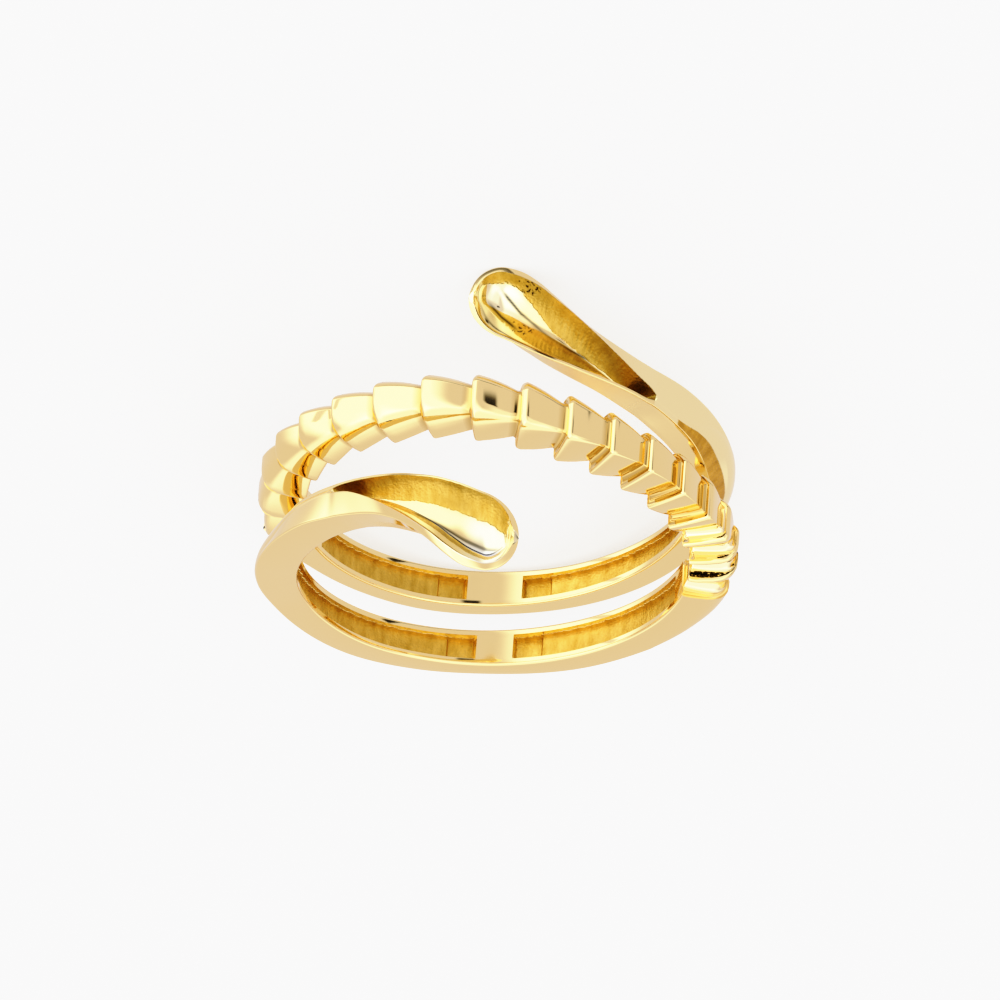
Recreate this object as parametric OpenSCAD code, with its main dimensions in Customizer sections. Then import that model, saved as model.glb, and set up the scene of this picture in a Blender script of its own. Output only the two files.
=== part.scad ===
// One-piece finger ring: a polished band that winds twice round the finger.
// Each end opens into a long hollow cup, and the stretch over the top is cut into overlapping scales.
// Seen along the finger, path angle 0 is twelve o'clock and the path winds away from the front cup.
// The back half is the front half turned half a turn about the twelve o'clock line.
// The ring lies on its side as it rests by itself, on the rim of one cup and on the plain band.

/* [Ring] */
// Diameter of the finger hole
bore_d = 17.2; // [14.8:0.1:21.4]
// Reach along the finger, from the front cup to the back cup
reach = 14.75; // [13:0.05:17]

/* [Cups] */
// Greatest depth of the hollow in each end
cup_depth = 1.1; // [0.5:0.05:1.15]
// Thickness of the back rim of each cup
rim_w = 0.15; // [0.1:0.05:0.3]

/* [Scales] */
// How far a wide end stands out beyond the next neck on the outside
step_out = 0.38; // [0.1:0.02:0.46]
// The same on the inside of the ring
step_in = 0.16; // [0:0.02:0.3]
// Share of each outer step that its rounded corner takes off
corner_share = 0.75; // [0:0.05:0.8]
// The same for the step of the front face
face_share = 0.4; // [0:0.05:0.7]
// How far the inner edge of each wide end's front face leans forward
face_lean = 0.08; // [0:0.02:0.2]

/* [Channels] */
// Depth of the channel inside each plain band
channel_depth = 0.42; // [0.2:0.02:0.5]
// Depth of the pocket on each side of a bridge
pocket_depth = 0.62; // [0.2:0.02:0.65]
// Width of the lip along each side of a channel
lip_w = 0.3; // [0.2:0.05:0.4]

/* [Hidden] */

bore_r = bore_d / 2;
stretch = reach / 14.75;

// The half band, a row per section. Heights are along the finger, and the others stand over the bore.
// path angle, front face at its outer and its inner edge, back face at its outer and its inner edge,
// front outer corner, height of the crest, crest, back outer corner, share of the cup's depth
HALF = [
    [-8.3, 7.52, 6.90, 4.00, 5.15, 1.30, 7.15, 1.36, 1.37, 1.00],
    [-3.5, 7.46, 6.75, 3.91, 4.98, 1.30, 7.13, 1.36, 1.37, 1.00],
    [0.5, 7.40, 6.55, 3.74, 4.77, 1.31, 7.06, 1.38, 1.37, 1.00],
    [5, 7.18, 6.28, 3.42, 4.22, 1.33, 6.78, 1.47, 1.37, 1.00],
    [9, 6.70, 5.88, 3.16, 3.85, 1.42, 6.34, 1.63, 1.37, 1.00],
    [13, 6.08, 5.43, 2.94, 3.51, 1.51, 5.76, 1.75, 1.37, 1.00],
    [17, 5.50, 5.04, 2.79, 3.26, 1.56, 5.22, 1.80, 1.37, 0.98],
    [22, 4.93, 4.72, 2.62, 3.02, 1.53, 4.58, 1.81, 1.37, 0.98],
    [28, 4.49, 4.38, 2.50, 2.82, 1.53, 3.88, 1.77, 1.37, 0.96],
    [35, 4.20, 4.12, 2.40, 2.57, 1.48, 3.21, 1.70, 1.37, 0.92],
    [40, 4.05, 4.01, 2.34, 2.43, 1.51, 2.92, 1.59, 1.36, 0.80],
    [42.5, 4.00, 3.97, 2.32, 2.38, 1.54, 2.78, 1.49, 1.36, 0.00],
    [50, 3.87, 3.86, 2.18, 2.18, 1.70, 2.62, 1.43, 1.30, 0.00],
    [59, 3.76, 3.76, 2.03, 2.03, 1.77, 2.78, 1.54, 1.22, 0.00],
    [67, 3.66, 3.66, 1.94, 1.94, 1.81, 3.28, 1.69, 1.06, 0.00],
    [77, 3.53, 3.53, 1.84, 1.84, 1.82, 3.36, 1.86, 0.92, 0.00],
    [92, 3.29, 3.29, 1.69, 1.69, 1.78, 3.13, 1.85, 1.00, 0.00],
    [107, 3.09, 3.09, 1.56, 1.56, 1.59, 2.94, 1.66, 1.15, 0.00],
    [137, 2.92, 2.92, 1.23, 1.23, 1.48, 2.77, 1.54, 1.15, 0.00],
    [157, 2.70, 2.70, 0.95, 0.95, 1.25, 2.55, 1.31, 1.05, 0.00],
    [177, 2.50, 2.50, 0.67, 0.67, 1.02, 2.35, 1.08, 0.95, 0.00],
    [202, 2.23, 2.23, 0.34, 0.34, 1.30, 2.08, 1.36, 0.98, 0.00],
    [222, 2.03, 2.03, 0.16, 0.16, 1.43, 1.87, 1.49, 1.00, 0.00],
    [240, 1.88, 1.88, 0.03, 0.03, 1.74, 1.50, 1.82, 1.14, 0.00],
    [250, 1.82, 1.82, -0.02, -0.02, 2.04, 1.05, 2.10, 1.40, 0.00],
    [260, 1.78, 1.78, -0.10, -0.10, 2.18, 0.55, 2.24, 1.60, 0.00]
];
FRONT_OUT = 1;
FRONT_IN = 2;
BACK_OUT = 3;
BACK_IN = 4;
CORNER = 5;
CREST_Z = 6;
CREST = 7;
BACK_CORNER = 8;
HOLLOW = 9;

// The scales, a row per wide end.
// path angle, front face, back face, crest over the bore, rounding of the front outer edge, front step,
// back step, share of the outer step, share of the full rounded corner, length of the fillet beyond
// the wide end
SCALES = [
    [256, 1.80, -0.06, 2.16, 1.40, 0.74, 0.14, 0.30, 0.40, 0.14],
    [266.5, 1.74, -0.20, 2.20, 1.40, 0.80, 0.14, 0.32, 0.40, 0.14],
    [277, 1.74, -0.32, 2.18, 0.85, 0.76, 0.12, 0.55, 0.45, 0.11],
    [288, 1.77, -0.42, 2.13, 0.30, 0.56, 0.10, 0.85, 0.45, 0.08],
    [299, 1.76, -0.50, 2.10, 0.12, 0.44, 0.10, 1.00, 0.45, 0.06],
    [310, 1.58, -0.58, 2.10, 0.10, 0.41, 0.11, 1.00, 0.45, 0.06],
    [321, 1.39, -0.72, 2.10, 0.10, 0.40, 0.15, 1.00, 0.50, 0.06],
    [331.8, 1.22, -1.00, 2.10, 0.14, 0.40, 0.22, 1.00, 0.55, 0.06],
    [342.7, 1.02, -1.27, 2.10, 0.26, 0.38, 0.30, 1.00, 0.65, 0.06],
    [353.8, 0.74, -1.58, 2.10, 0.50, 0.36, 0.34, 1.00, 0.80, 0.06],
    [365.2, 0.48, -1.78, 2.10, 0.85, 0.34, 0.34, 1.00, 0.55, 0.06],
    [377.2, 0.28, -1.88, 2.09, 1.05, 0.30, 0.34, 1.00, 0.45, 0.06],
    [389.6, 0.18, -1.94, 2.06, 1.10, 0.27, 0.32, 1.00, 0.45, 0.06],
    [402, 0.07, -2.00, 2.04, 1.10, 0.25, 0.32, 1.00, 0.45, 0.06],
    [414, 0.02, -2.08, 2.07, 1.10, 0.24, 0.32, 1.00, 0.45, 0.06],
    [425.5, 0.01, -2.12, 2.12, 1.10, 0.24, 0.32, 1.00, 0.45, 0.06],
    [437, 0.04, -2.12, 2.16, 1.05, 0.24, 0.32, 1.00, 0.45, 0.06],
    [449, 0.08, -2.08, 2.16, 0.90, 0.24, 0.32, 1.00, 0.45, 0.06],
    [460.5, 0.08, -2.04, 2.14, 0.60, 0.24, 0.32, 1.00, 0.45, 0.06]
];
SCALE_FRONT = 1;
SCALE_BACK = 2;
SCALE_CREST = 3;
EDGE_ROUND = 4;
FRONT_STEP = 5;
BACK_STEP = 6;
OUT_SHARE = 7;
LIP = 8;
FILLET = 9;

// Path angle from the front tip's zero to the back tip's
TURN = 720;

// Path angles of the tip, of the start of the cup's hollow, and where the rounded end meets the table
TIP = -8.3;
HOLLOW_START = -6.9;
ROUND_END = 0.5;
TIP_Z = 5.80;
TIP_BORE = 1.15;

// Width of the bevel along the back outer corner, past the cup
BEVEL_W = 0.25;

// Moves the lowest line of each cup towards its back rim, from the middle at 1
VALLEY = 0.72;

// Each bridge across a channel: its path angle in its own half and its half width in degrees
FRONT_BRIDGE = [179, 6];
BACK_BRIDGE = [182.3, 8.9];
POCKET = 8;
CHANNEL_START = 75;
CHANNEL_END = 249;

// Points across the crest of a section, in the front outer edge, in the back outer corner, and in an
// inner corner
crest_steps = 8;
edge_steps = 3;
corner_steps = 2;
inner_steps = 1;

function between(low, x, high) = max(low, min(x, high));
function mix(p, q, u) = p + (q - p) * u;

// A smooth row of a table at path angle x
function row_before(t, x) = max([0, for (i = [0:len(t) - 2]) if (t[i][0] <= x) i]);
function row_at(t, x) =
    let (
        i = row_before(t, x),
        before = t[max(i - 1, 0)],
        low = t[i],
        high = t[i + 1],
        after = t[min(i + 2, len(t) - 1)],
        span = high[0] - low[0],
        u = between(0, (x - low[0]) / span, 1),
        slope_low = i == 0 ? 0 * low : (high - before) * span / (high[0] - before[0]),
        slope_high = (after - low) * span / (after[0] - low[0])
    )
    low * (2 * u ^ 3 - 3 * u ^ 2 + 1) + slope_low * (u ^ 3 - 2 * u ^ 2 + u)
        + high * (3 * u ^ 2 - 2 * u ^ 3) + slope_high * (u ^ 3 - u ^ 2);

// A rounded corner at p, drawn from d before it to d after it
function toward(p, q, d, most = 0.45) = mix(p, q, min(d / max(norm(q - p), 0.001), most));
function rounded(before, p, after, d, steps, most = 0.45) =
    let (a = toward(p, before, d, most), b = toward(p, after, d, most))
    [for (i = [0:steps]) let (u = i / steps) mix(mix(a, p, u), mix(p, b, u), u)];

// Closed outline of one section, as [radius, height] points: from the front inner corner over the
// outside to the back inner corner, then back through the channel inside the bore.
// corners = [front inner, front outer, crest, inner edge of the back rim, back outer, back inner]
// rounds = [inner corners, front outer corner, back outer corner]
function section(corners, rounds, bulge, hollow, channel) =
    let (
        front_in = corners[0],
        front_out = corners[1],
        crest = corners[2],
        rim = corners[3],
        back_out = corners[4],
        back_in = corners[5],
        wide = front_in[1] - back_in[1],
        lip = min(lip_w, 0.3 * wide),
        slant = min(0.08, 0.05 * wide),
        lip_front = front_in - [0, lip],
        lip_back = back_in + [0, lip]
    )
    [
        each rounded(lip_front, front_in, front_out, rounds[0], inner_steps),
        each rounded(front_in, front_out, crest, rounds[1], edge_steps, 0.8),
        toward(crest, front_out, 0.06),
        for (i = [0:crest_steps])
            let (u = i / crest_steps, dip = hollow * (1 - abs(2 * u ^ VALLEY - 1) ^ 1.6) ^ 0.7)
            mix(crest, rim, u) + [4 * bulge * u * (1 - u) - dip, 0],
        toward(rim, back_out, 0.06),
        each rounded(rim, back_out, back_in, rounds[2], corner_steps),
        each rounded(back_out, back_in, lip_back, rounds[0], inner_steps),
        lip_back,
        lip_back + [channel, slant],
        lip_front + [channel, -slant],
        lip_front
    ];

// Section of the front half at path angle q. Towards the tip its heights close in on TIP_Z.
function half_section(q, channel) =
    let (
        row = row_at(HALF, q),
        away = between(0, (ROUND_END - q) / (ROUND_END - TIP), 1),
        in_hollow = between(0, (ROUND_END - q) / (ROUND_END - HOLLOW_START), 1),
        hollow = between(0, row[HOLLOW], 1),
        back_w = mix(BEVEL_W, rim_w, hollow),
        front = sqrt(1 - away ^ 2),
        open = sqrt(1 - in_hollow ^ 2),
        crest_open = max(open, 0.4 * front),
        inner = bore_r + TIP_BORE * away ^ 2.5,
        crest = bore_r + row[CREST],
        back_r = bore_r + row[BACK_CORNER],
        corners = [
            [inner, mix(TIP_Z, row[FRONT_IN], front)],
            [bore_r + row[CORNER], mix(TIP_Z, row[FRONT_OUT], front)],
            [crest, mix(TIP_Z, row[CREST_Z], crest_open)],
            [mix(back_r, crest, 0.3 - 0.25 * hollow), mix(TIP_Z, row[BACK_OUT] + back_w, crest_open)],
            [back_r, mix(TIP_Z, row[BACK_OUT], front)],
            [inner, mix(TIP_Z, row[BACK_IN], front)]
        ],
        inner_round = 0.12 + 0.25 * (1 - between(0, (q - 2) / 25, 1)),
        edge = 0.1 + 1.3 * between(0, (q - 225) / 30, 1),
        rounds = [inner_round, edge, 0.08]
    )
    section(corners, rounds, 0.2 * (crest - back_r), cup_depth * hollow * open, channel);

// Section of the back half: the same outline turned over, from its front inner corner again
function turned(outline) =
    let (n = len(outline))
    [for (i = [0:n - 1]) let (p = outline[(2 * n - 5 - i) % n]) [p[0], -p[1]]];

// Section of a scale at path angle s, where size is 0 at the neck and 1 at the wide end. The front
// face has a size of its own, and along runs from 0 to 1 over the scale.
function scale_section(s, along, size, face_size) =
    let (
        row = row_at(SCALES, s),
        less = 1 - size,
        face_less = 1 - face_size,
        front = row[SCALE_FRONT] - row[FRONT_STEP] * face_less,
        back = row[SCALE_BACK] + row[BACK_STEP] * less,
        outer = bore_r + row[SCALE_CREST] - step_out * row[OUT_SHARE] * less,
        inner = bore_r + step_in * face_less,
        crest = [outer, mix(back, front, 0.27)],
        back_out = [outer - 0.5 + 0.1 * less, back],
        corners = [
            [inner, front + face_lean * face_size],
            [outer - 0.04, front],
            crest,
            mix(back_out, crest, 0.12),
            back_out,
            [inner, back]
        ],
        edge = row[EDGE_ROUND] * (0.6 + 0.5 * along)
    )
    section(corners, [0.12, edge, 0.12], min(0.11, 0.04 + 0.07 * edge), 0, 0);

// Depth of the channel at path angle q of a half
function channel_at(q, bridge) =
    let (off = abs(q - bridge[0]))
    off < bridge[1] || q < CHANNEL_START || q > CHANNEL_END ? 0
        : off < bridge[1] + POCKET ? pocket_depth : channel_depth;

// Even steps from a to b, without b
function steps(a, b, step) =
    let (n = max(1, round((b - a) / step)))
    [for (i = [0:n - 1]) mix(a, b, i / n)];

// Path angles of a half, close together at its rounded tip and at each end of a channel or pocket
function half_angles(bridge, end) =
    let (
        wall = 0.35,
        from = bridge[0] - bridge[1],
        to = bridge[0] + bridge[1]
    )
    [
        for (i = [0:8]) mix(TIP + 0.03, ROUND_END, 1 - cos(i * 10)),
        each steps(ROUND_END, 38, 2.8),
        each steps(38, 43.5, 1.1),
        each steps(43.5, CHANNEL_START, 5.2),
        CHANNEL_START,
        each steps(CHANNEL_START + wall, from - POCKET - wall, 6),
        from - POCKET - wall,
        from - POCKET + wall,
        from - wall,
        from + wall,
        to - wall,
        to + wall,
        to + POCKET - wall,
        each steps(to + POCKET + wall, CHANNEL_END, 6),
        CHANNEL_END,
        CHANNEL_END + wall,
        end - 2,
        end - 0.1
    ];

// Growth of a scale along its length, as [place, size, size of the front face]: a concave fillet from
// the wide end before it, a domed flare and a rounded corner
function growth(fillet, lip) = [
    [0.16 * fillet, 0.22, 0.22],
    [fillet, 0, 0],
    [mix(fillet, 1 - 0.2 * lip, 0.5), 0.58, 0.58],
    [1 - 0.2 * lip, 1, 1],
    [1 - 0.08 * lip, 1 - 0.3 * corner_share * lip, 1],
    [0.995, 1 - corner_share * lip, 1 - face_share * lip]
];

// Every section from the front tip to the back tip, as [path angle, outline]
last_scale = len(SCALES) - 1;
front_angles = half_angles(FRONT_BRIDGE, SCALES[0][0]);
back_angles = half_angles(BACK_BRIDGE, TURN - SCALES[last_scale][0]);
sections = [
    for (q = front_angles) [q, half_section(q, channel_at(q, FRONT_BRIDGE))],
    for (k = [1:last_scale], g = growth(SCALES[k - 1][FILLET], SCALES[k][LIP]))
        let (s = mix(SCALES[k - 1][0], SCALES[k][0], g[0]))
        [s, scale_section(s, g[0], g[1], g[2])],
    for (i = [len(back_angles) - 1:-1:0])
        let (q = back_angles[i])
        [TURN - q, turned(half_section(q, channel_at(q, BACK_BRIDGE)))]
];

// The pose at rest: a turn about X from the plain band to the cup's rim, then one about Y that
// follows the slope of the band where it touches the floor
rim = row_at(HALF, ROUND_END);
bottom = row_at(HALF, 180);
rise = row_at(HALF, 165)[FRONT_OUT] - row_at(HALF, 195)[FRONT_OUT];
rest_x = atan(stretch * (rim[FRONT_OUT] - bottom[FRONT_OUT]) / (bore_d + rim[CORNER] + bottom[CORNER]));
rest_y = atan(stretch * rise / ((bore_r + bottom[CORNER]) * PI / 6));

// A point of the ring from its path angle, radius and height, lying as it rests
function placed(s, p) =
    let (
        x = p[0] * sin(s),
        y = -p[0] * cos(s) * cos(rest_x) + stretch * p[1] * sin(rest_x),
        z = p[0] * cos(s) * sin(rest_x) + stretch * p[1] * cos(rest_x)
    )
    [x * cos(rest_y) + z * sin(rest_y), y, z * cos(rest_y) - x * sin(rest_y)];

tip = [bore_r + TIP_BORE + 0.1, TIP_Z];
raw_points = [
    for (s = sections, p = s[1]) placed(s[0], p),
    placed(TIP, tip),
    placed(TURN - TIP, [tip[0], -tip[1]])
];
low = [for (k = [0:2]) min([for (p = raw_points) p[k]])];
high = [for (k = [0:2]) max([for (p = raw_points) p[k]])];
origin = [(low[0] + high[0]) / 2, (low[1] + high[1]) / 2, low[2]];

// Triangles between each two sections, and a fan to the point of each tip
ring_points = [for (p = raw_points) p - origin];
across = len(sections[0][1]);
last_start = (len(sections) - 1) * across;
ring_faces = [
    for (i = [0:across:last_start - across], j = [0:across - 1])
        let (a = i + j, b = i + (j + 1) % across)
        each [[a, b + across, b], [a, a + across, b + across]],
    for (j = [0:across - 1]) [j, (j + 1) % across, last_start + across],
    for (j = [0:across - 1]) [last_start + (j + 1) % across, last_start + j, last_start + across + 1]
];

// The ring is one cast piece: cups, plain bands and scales
module band() {
    color("gold")
        polyhedron(ring_points, ring_faces, 10);
}

band();
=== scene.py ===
import math

import bpy
import numpy as np
from mathutils import Matrix, Vector


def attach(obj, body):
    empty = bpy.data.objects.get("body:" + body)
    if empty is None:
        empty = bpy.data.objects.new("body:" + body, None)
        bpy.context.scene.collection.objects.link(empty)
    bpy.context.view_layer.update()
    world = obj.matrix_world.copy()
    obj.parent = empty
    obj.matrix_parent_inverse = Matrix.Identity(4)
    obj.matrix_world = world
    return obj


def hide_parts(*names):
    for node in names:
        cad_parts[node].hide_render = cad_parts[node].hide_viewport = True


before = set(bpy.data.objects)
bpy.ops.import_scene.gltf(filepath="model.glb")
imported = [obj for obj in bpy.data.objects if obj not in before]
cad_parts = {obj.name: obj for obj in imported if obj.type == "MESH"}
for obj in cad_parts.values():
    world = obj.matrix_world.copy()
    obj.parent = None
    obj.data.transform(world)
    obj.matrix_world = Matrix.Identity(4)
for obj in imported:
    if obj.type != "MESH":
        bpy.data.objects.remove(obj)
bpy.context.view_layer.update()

MM = 0.001

# Sizes of the ring in millimetres, as in its solid: the finger hole's radius, the cups' depth, the
# widths of their rim and of the bevel past them, how far a scale steps down to its neck outside and
# at the hole, and the lean of its front face
BORE_R = 8.6
CUP_DEPTH = 1.1
RIM_W = 0.15
BEVEL_W = 0.25
STEP_OUT = 0.38
STEP_IN = 0.16
FACE_LEAN = 0.08

# How much of a scale's step its rounded wide end takes, outside and at its front face
CORNER_SHARE = 0.75
FACE_SHARE = 0.4

# The depth of a channel and of its pockets, and the width and slant of its lips, each with its most as
# a share of the band's width
CHANNEL_DEPTH = 0.42
POCKET_DEPTH = 0.62
LIP_W, LIP_MOST = 0.3, 0.3
SLANT, SLANT_MOST = 0.08, 0.05

# The form of a cup across: how far its deepest place lies from the crest, and how round its walls and
# its floor are, as powers
VALLEY, WALL_POWER, FLOOR_POWER = 0.72, 1.6, 0.7

# The half band: path angle, front face at its outer and inner edge, back face at its outer and
# inner edge, front outer corner, height of the crest, crest, back outer corner, share of the cup's depth
HALF = np.array([
    [-8.3, 7.52, 6.90, 4.00, 5.15, 1.30, 7.15, 1.36, 1.37, 1.00],
    [-3.5, 7.46, 6.75, 3.91, 4.98, 1.30, 7.13, 1.36, 1.37, 1.00],
    [0.5, 7.40, 6.55, 3.74, 4.77, 1.31, 7.06, 1.38, 1.37, 1.00],
    [5, 7.18, 6.28, 3.42, 4.22, 1.33, 6.78, 1.47, 1.37, 1.00],
    [9, 6.70, 5.88, 3.16, 3.85, 1.42, 6.34, 1.63, 1.37, 1.00],
    [13, 6.08, 5.43, 2.94, 3.51, 1.51, 5.76, 1.75, 1.37, 1.00],
    [17, 5.50, 5.04, 2.79, 3.26, 1.56, 5.22, 1.80, 1.37, 0.98],
    [22, 4.93, 4.72, 2.62, 3.02, 1.53, 4.58, 1.81, 1.37, 0.98],
    [28, 4.49, 4.38, 2.50, 2.82, 1.53, 3.88, 1.77, 1.37, 0.96],
    [35, 4.20, 4.12, 2.40, 2.57, 1.48, 3.21, 1.70, 1.37, 0.92],
    [40, 4.05, 4.01, 2.34, 2.43, 1.51, 2.92, 1.59, 1.36, 0.80],
    [42.5, 4.00, 3.97, 2.32, 2.38, 1.54, 2.78, 1.49, 1.36, 0.00],
    [50, 3.87, 3.86, 2.18, 2.18, 1.70, 2.62, 1.43, 1.30, 0.00],
    [59, 3.76, 3.76, 2.03, 2.03, 1.77, 2.78, 1.54, 1.22, 0.00],
    [67, 3.66, 3.66, 1.94, 1.94, 1.81, 3.28, 1.69, 1.06, 0.00],
    [77, 3.53, 3.53, 1.84, 1.84, 1.82, 3.36, 1.86, 0.92, 0.00],
    [92, 3.29, 3.29, 1.69, 1.69, 1.78, 3.13, 1.85, 1.00, 0.00],
    [107, 3.09, 3.09, 1.56, 1.56, 1.59, 2.94, 1.66, 1.15, 0.00],
    [137, 2.92, 2.92, 1.23, 1.23, 1.48, 2.77, 1.54, 1.15, 0.00],
    [157, 2.70, 2.70, 0.95, 0.95, 1.25, 2.55, 1.31, 1.05, 0.00],
    [177, 2.50, 2.50, 0.67, 0.67, 1.02, 2.35, 1.08, 0.95, 0.00],
    [202, 2.23, 2.23, 0.34, 0.34, 1.30, 2.08, 1.36, 0.98, 0.00],
    [222, 2.03, 2.03, 0.16, 0.16, 1.43, 1.87, 1.49, 1.00, 0.00],
    [240, 1.88, 1.88, 0.03, 0.03, 1.74, 1.50, 1.82, 1.14, 0.00],
    [250, 1.82, 1.82, -0.02, -0.02, 2.04, 1.05, 2.10, 1.40, 0.00],
    [260, 1.78, 1.78, -0.10, -0.10, 2.18, 0.55, 2.24, 1.60, 0.00],
])
FRONT_OUT, FRONT_IN, BACK_OUT, BACK_IN, CORNER, CREST_Z, CREST, BACK_CORNER, HOLLOW = range(1, 10)

# The scales, a row per wide end: path angle, front face, back face, crest over the bore, rounding of
# the front outer edge, front step, back step, share of the outer step, share of the full rounded
# corner, length of the fillet beyond the wide end
SCALES = np.array([
    [256, 1.80, -0.06, 2.16, 1.40, 0.74, 0.14, 0.30, 0.40, 0.14],
    [266.5, 1.74, -0.20, 2.20, 1.40, 0.80, 0.14, 0.32, 0.40, 0.14],
    [277, 1.74, -0.32, 2.18, 0.85, 0.76, 0.12, 0.55, 0.45, 0.11],
    [288, 1.77, -0.42, 2.13, 0.30, 0.56, 0.10, 0.85, 0.45, 0.08],
    [299, 1.76, -0.50, 2.10, 0.12, 0.44, 0.10, 1.00, 0.45, 0.06],
    [310, 1.58, -0.58, 2.10, 0.10, 0.41, 0.11, 1.00, 0.45, 0.06],
    [321, 1.39, -0.72, 2.10, 0.10, 0.40, 0.15, 1.00, 0.50, 0.06],
    [331.8, 1.22, -1.00, 2.10, 0.14, 0.40, 0.22, 1.00, 0.55, 0.06],
    [342.7, 1.02, -1.27, 2.10, 0.26, 0.38, 0.30, 1.00, 0.65, 0.06],
    [353.8, 0.74, -1.58, 2.10, 0.50, 0.36, 0.34, 1.00, 0.80, 0.06],
    [365.2, 0.48, -1.78, 2.10, 0.85, 0.34, 0.34, 1.00, 0.55, 0.06],
    [377.2, 0.28, -1.88, 2.09, 1.05, 0.30, 0.34, 1.00, 0.45, 0.06],
    [389.6, 0.18, -1.94, 2.06, 1.10, 0.27, 0.32, 1.00, 0.45, 0.06],
    [402, 0.07, -2.00, 2.04, 1.10, 0.25, 0.32, 1.00, 0.45, 0.06],
    [414, 0.02, -2.08, 2.07, 1.10, 0.24, 0.32, 1.00, 0.45, 0.06],
    [425.5, 0.01, -2.12, 2.12, 1.10, 0.24, 0.32, 1.00, 0.45, 0.06],
    [437, 0.04, -2.12, 2.16, 1.05, 0.24, 0.32, 1.00, 0.45, 0.06],
    [449, 0.08, -2.08, 2.16, 0.90, 0.24, 0.32, 1.00, 0.45, 0.06],
    [460.5, 0.08, -2.04, 2.14, 0.60, 0.24, 0.32, 1.00, 0.45, 0.06],
])
SCALE_FRONT, SCALE_BACK, SCALE_CREST, EDGE_ROUND, FRONT_STEP, BACK_STEP, OUT_SHARE, LIP, FILLET = range(1, 10)

# A scale's crest between its back and front face, how far its back corner lies under the crest and
# how much of that the neck loses, the set-in of its front edge, and the bevel's share of the drop
CREST_SHARE, BACK_DROP, NECK_LOSS, EDGE_IN, BEVEL_SHARE = 0.27, 0.5, 0.1, 0.04, 0.12

# The whole path in degrees, and a half's marks on it: its tip, and where its hollow and full width start
TURN = 720
TIP, HOLLOW_START, ROUND_END = -8.3, -6.9, 0.5

# The tip's height, how far it stands off the finger hole and how late that sets in, as a power, and how
# open the crest stays there
TIP_Z, TIP_BORE, TIP_POWER, TIP_OPEN = 5.80, 1.15, 2.5, 0.4

# How far up the drop the rim lies, on the plain band and at a cup
RIM_PLAIN, RIM_CUP = 0.3, 0.05

# The bridges' middles and half lengths, the pockets' length, and the channels' ends, in degrees
FRONT_BRIDGE, BACK_BRIDGE = (179, 6), (182.3, 8.9)
POCKET, CHANNEL_START, CHANNEL_END = 8, 75, 249

# Points across the top, in a rounded corner, in an inner corner, along a flat face and across a
# channel's floor
TOP_STEPS, CORNER_STEPS, INNER_STEPS, FACE_STEPS, FLOOR_POINTS = 40, 6, 4, 6, 9

# The parts of an outline among its points: the inner corner, the front outer corner, the top from the
# crest to the rim, the rim's corner, the back face and the channel's floor
TOP_START = INNER_STEPS + FACE_STEPS + CORNER_STEPS + 2
TOP = slice(TOP_START, TOP_START + TOP_STEPS + 1)
INNER_CORNER = slice(0, INNER_STEPS + 3)
FRONT_CORNER = slice(INNER_STEPS + FACE_STEPS, TOP_START)
RIM_CORNER = slice(TOP.stop, TOP.stop + 4)
BACK_FACE = slice(TOP.stop + 1, -FLOOR_POINTS - 2)
FLOOR = slice(-FLOOR_POINTS - 1, -1)
ACROSS = np.linspace(0, 1, TOP_STEPS + 1)

# How far the polished front faces swell out in the middle, how much of its sides the front outer
# corner's rounding may take, and how near to the crest and the rim the last points by them lie
FACE_BULGE, CORNER_MOST, EDGE_NEAR = 0.022, 0.8, 0.06

# The rounding of a half's inner corners and of its front outer edge, each from one size to another over
# some path angles, the rounding of its rim, and how far its top bulges for each millimetre of drop
HALF_INNER, HALF_INNER_ALONG = (0.37, 0.12), (2, 27)
HALF_EDGE, HALF_EDGE_ALONG = (0.1, 1.4), (225, 255)
HALF_RIM, TOP_BULGE = 0.08, 0.2


def between(low, x, high):
    return max(low, min(x, high))


def mix(p, q, u):
    return p + (q - p) * u


def ramp(low, high, x):
    return between(0, (x - low) / (high - low), 1)


def row_at(table, x):
    """A smooth row of a table at path angle x."""
    i = int(between(0, np.searchsorted(table[:, 0], x, "right") - 1, len(table) - 2))
    before, low, high = table[max(i - 1, 0)], table[i], table[i + 1]
    after = table[min(i + 2, len(table) - 1)]
    span = high[0] - low[0]
    u = between(0, (x - low[0]) / span, 1)
    slope_low = (high - before) * span / (high[0] - before[0]) if i else (0 * low)
    slope_high = (after - low) * span / (after[0] - low[0])
    return (low * (2 * u**3 - 3 * u**2 + 1) + slope_low * (u**3 - 2 * u**2 + u)
            + high * (3 * u**2 - 2 * u**3) + slope_high * (u**3 - u**2))


def toward(p, q, d, most=0.45):
    """The point d from p towards q, or a most share of the way."""
    return mix(p, q, min(d / max(np.linalg.norm(q - p), 0.001), most))


def rounded(before, p, after, d, steps, most=0.45):
    """A rounded corner at p, drawn from d before it to d after it."""
    a, b = toward(p, before, d, most), toward(p, after, d, most)
    us = [i / steps for i in range(steps + 1)]
    return [mix(mix(a, p, u), mix(p, b, u), u) for u in us]


def inside(p, q, steps):
    """Points strictly between p and q."""
    return [mix(p, q, i / steps) for i in range(1, steps)]


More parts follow.
